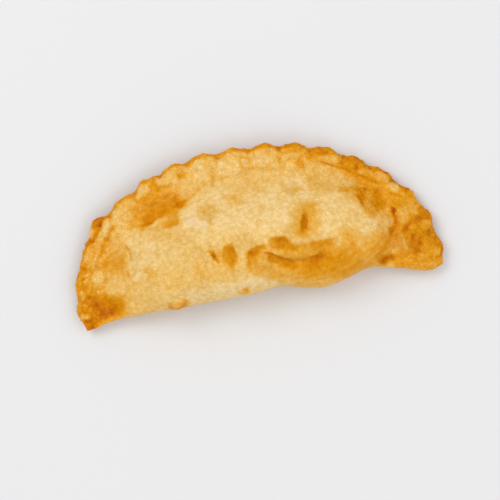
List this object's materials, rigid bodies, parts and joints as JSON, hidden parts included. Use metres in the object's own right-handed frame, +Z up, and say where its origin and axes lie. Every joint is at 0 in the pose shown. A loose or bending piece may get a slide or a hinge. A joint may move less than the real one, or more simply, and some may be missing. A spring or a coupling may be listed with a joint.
{
  "type": "chicken empanada",
  "caption": "Half-moon fried pastry turnover with a pinched, scalloped rim, a smooth fold and a filled body swelling between them.",
  "frame": {"origin": "on the surface the empanada lies on, under the middle of its plan bounding box", "axes": "+X along the fold towards the tip that is an unfilled flap, +Y from the fold towards the pinched rim, +Z up, out of the side that shows"},
  "size_m": [0.1691, 0.0706, 0.0307],
  "materials": {
    "fried_dough": "fried wheat dough, golden, browner along the rim and in the hollows, with a thin satin film of frying oil"
  },
  "bodies": {
    "root": {"empanada": "fried_dough"}
  },
  "joints": []
}
